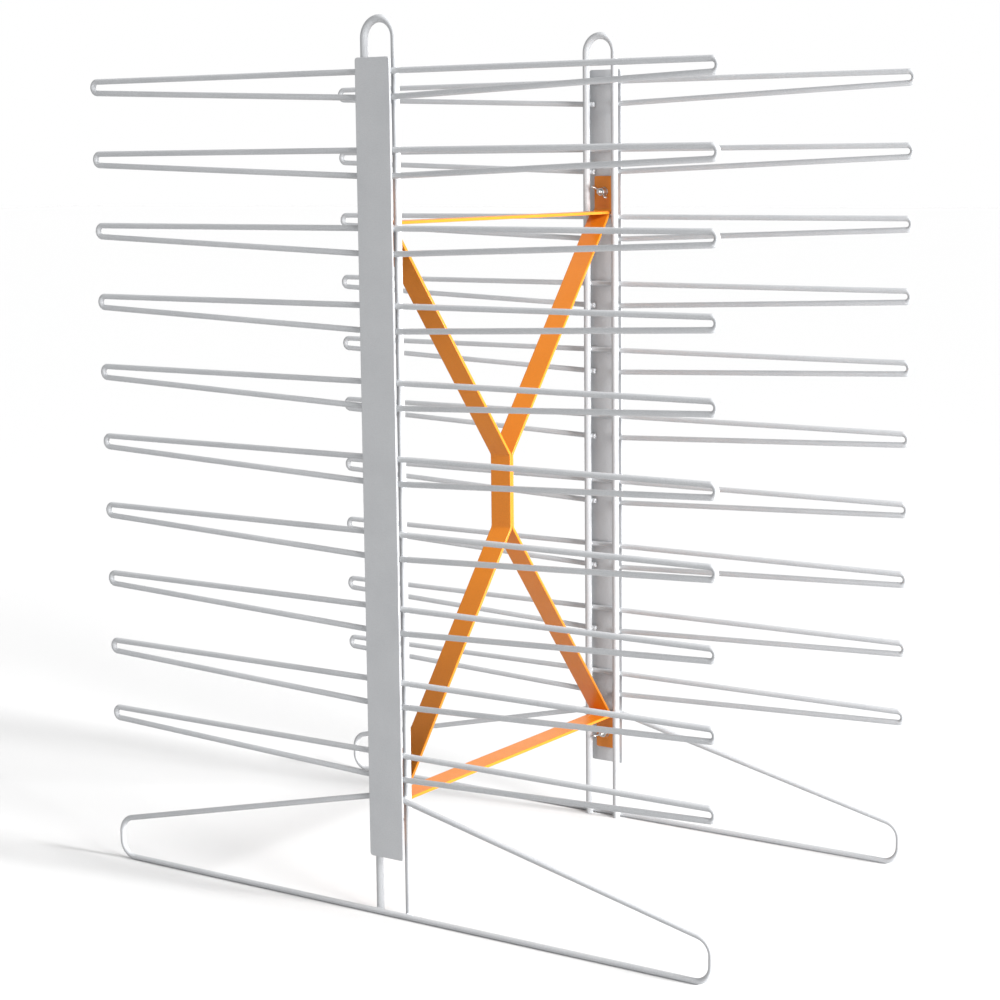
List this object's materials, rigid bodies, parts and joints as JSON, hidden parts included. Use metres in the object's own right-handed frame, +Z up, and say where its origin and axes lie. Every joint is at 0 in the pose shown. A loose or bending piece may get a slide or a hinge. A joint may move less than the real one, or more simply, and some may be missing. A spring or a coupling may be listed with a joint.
{
  "type": "board drying rack",
  "caption": "Knock-down wire rack for drying painted boards: two upright wire frames with looped arms on both sides, joined by an orange strip brace with wing nuts.",
  "frame": {"origin": "middle of the floor area under the rack, on the floor", "axes": "+Z up, X along the arms, +Y from the front frame to the rear frame"},
  "size_m": [0.762, 0.4416, 0.9144],
  "materials": {
    "white_powder_coat": "satin powder coat with fine orange peel",
    "orange_powder_coat": "satin powder coat",
    "zinc_plate": "bright zinc plate"
  },
  "bodies": {
    "rack": {"front_post_wire": "white_powder_coat", "front_foot_wire": "white_powder_coat", "front_plate": "white_powder_coat", "front_arm_01": "white_powder_coat", "front_arm_02": "white_powder_coat", "front_arm_03": "white_powder_coat", "front_arm_04": "white_powder_coat", "front_arm_05": "white_powder_coat", "front_arm_06": "white_powder_coat", "front_arm_07": "white_powder_coat", "front_arm_08": "white_powder_coat", "front_arm_09": "white_powder_coat", "front_arm_10": "white_powder_coat", "rear_post_wire": "white_powder_coat", "rear_foot_wire": "white_powder_coat", "rear_plate": "white_powder_coat", "rear_arm_01": "white_powder_coat", "rear_arm_02": "white_powder_coat", "rear_arm_03": "white_powder_coat", "rear_arm_04": "white_powder_coat", "rear_arm_05": "white_powder_coat", "rear_arm_06": "white_powder_coat", "rear_arm_07": "white_powder_coat", "rear_arm_08": "white_powder_coat", "rear_arm_09": "white_powder_coat", "rear_arm_10": "white_powder_coat", "brace_top_tie": "orange_powder_coat", "brace_bottom_tie": "orange_powder_coat", "brace_front_strip": "orange_powder_coat", "brace_rear_strip": "orange_powder_coat", "front_top_stud": "zinc_plate", "front_bottom_stud": "zinc_plate", "rear_top_stud": "zinc_plate", "rear_bottom_stud": "zinc_plate"},
    "front_top_washer": {"front_top_washer": "zinc_plate"},
    "front_top_wing_nut": {"front_top_wing_nut": "zinc_plate"},
    "front_bottom_washer": {"front_bottom_washer": "zinc_plate"},
    "front_bottom_wing_nut": {"front_bottom_wing_nut": "zinc_plate"},
    "rear_top_washer": {"rear_top_washer": "zinc_plate"},
    "rear_top_wing_nut": {"rear_top_wing_nut": "zinc_plate"},
    "rear_bottom_washer": {"rear_bottom_washer": "zinc_plate"},
    "rear_bottom_wing_nut": {"rear_bottom_wing_nut": "zinc_plate"}
  },
  "joints": [
    {"name": "front_top_nut_travel", "type": "slide", "parent": "rack", "child": "front_top_washer", "axis": [0, 1, 0], "range_m": [0, 0.0064]},
    {"name": "front_top_nut_turn", "type": "hinge", "parent": "front_top_washer", "child": "front_top_wing_nut", "pos_m": [0, -0.2135, 0.7354], "axis": [0, 1, 0], "range_deg": [0, 2880]},
    {"name": "front_bottom_nut_travel", "type": "slide", "parent": "rack", "child": "front_bottom_washer", "axis": [0, 1, 0], "range_m": [0, 0.0064]},
    {"name": "front_bottom_nut_turn", "type": "hinge", "parent": "front_bottom_washer", "child": "front_bottom_wing_nut", "pos_m": [0, -0.2135, 0.0998], "axis": [0, 1, 0], "range_deg": [0, 2880]},
    {"name": "rear_top_nut_travel", "type": "slide", "parent": "rack", "child": "rear_top_washer", "axis": [0, -1, 0], "range_m": [0, 0.0064]},
    {"name": "rear_top_nut_turn", "type": "hinge", "parent": "rear_top_washer", "child": "rear_top_wing_nut", "pos_m": [0, 0.2135, 0.7354], "axis": [0, -1, 0], "range_deg": [0, 2880]},
    {"name": "rear_bottom_nut_travel", "type": "slide", "parent": "rack", "child": "rear_bottom_washer", "axis": [0, -1, 0], "range_m": [0, 0.0064]},
    {"name": "rear_bottom_nut_turn", "type": "hinge", "parent": "rear_bottom_washer", "child": "rear_bottom_wing_nut", "pos_m": [0, 0.2135, 0.0998], "axis": [0, -1, 0], "range_deg": [0, 2880]}
  ],
  "couplings": [
    {"joint": "front_top_nut_travel", "follows": "front_top_nut_turn", "m_per_rad": 0.00012732},
    {"joint": "front_bottom_nut_travel", "follows": "front_bottom_nut_turn", "m_per_rad": 0.00012732},
    {"joint": "rear_top_nut_travel", "follows": "rear_top_nut_turn", "m_per_rad": 0.00012732},
    {"joint": "rear_bottom_nut_travel", "follows": "rear_bottom_nut_turn", "m_per_rad": 0.00012732}
  ]
}
